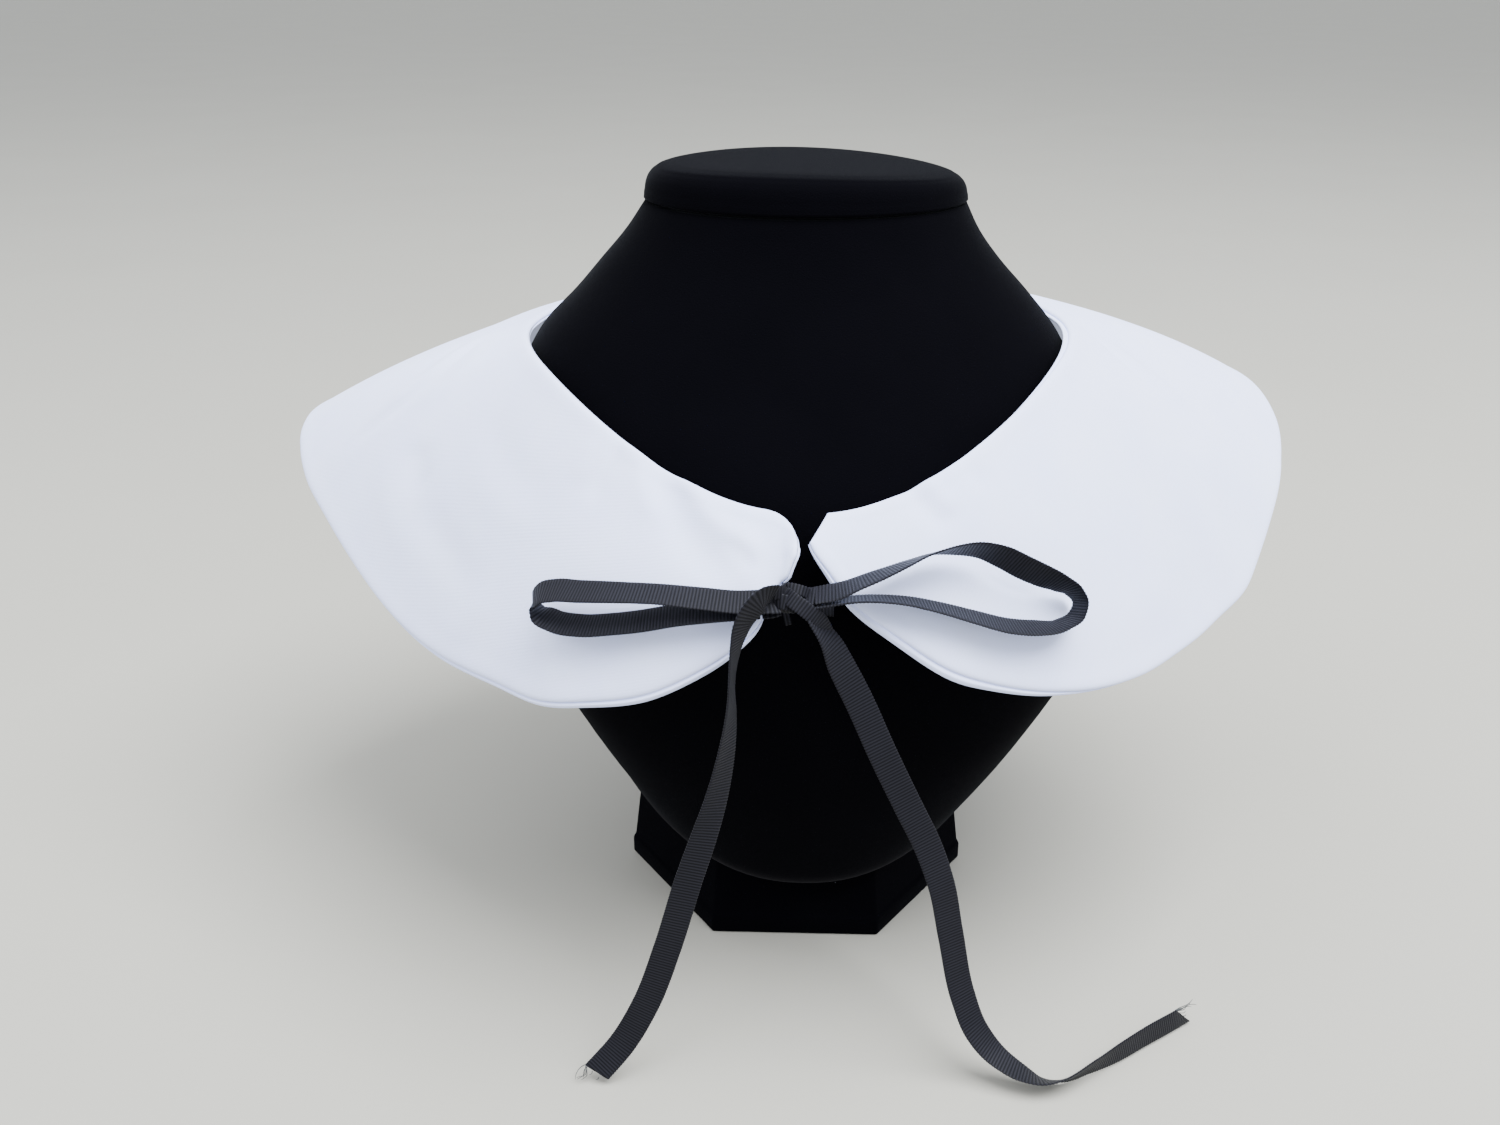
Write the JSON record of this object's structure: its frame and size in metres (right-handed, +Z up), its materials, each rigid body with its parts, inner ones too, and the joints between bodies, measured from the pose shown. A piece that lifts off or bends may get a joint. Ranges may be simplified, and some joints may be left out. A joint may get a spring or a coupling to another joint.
{
  "type": "peter pan collar on display bust",
  "caption": "Flat round-cornered cotton collar tied in front with a narrow ribbon bow, lying on a limbless velvet covered neck display with a capped top and a six-sided foot.",
  "frame": {"origin": "middle of the display foot's flat base, on the surface it stands on", "axes": "+Z up, -Y the front where the bow is tied, +X towards the wearer's left"},
  "size_m": [0.2886, 0.2265, 0.215],
  "materials": {
    "collar_cotton": "plain fine cotton, matte, two layers",
    "bow_ribbon": "ribbed grosgrain ribbon, slight sheen",
    "display_velvet": "short pile velvet, very dark and matte"
  },
  "bodies": {
    "root": {"upper_collar": "collar_cotton", "under_collar": "collar_cotton", "bow_knot": "bow_ribbon", "tie_left": "bow_ribbon", "tie_right": "bow_ribbon", "loop_left": "bow_ribbon", "loop_right": "bow_ribbon", "tail_left": "bow_ribbon", "tail_right": "bow_ribbon", "display_bust": "display_velvet", "display_cap": "display_velvet", "display_foot": "display_velvet"}
  },
  "joints": []
}
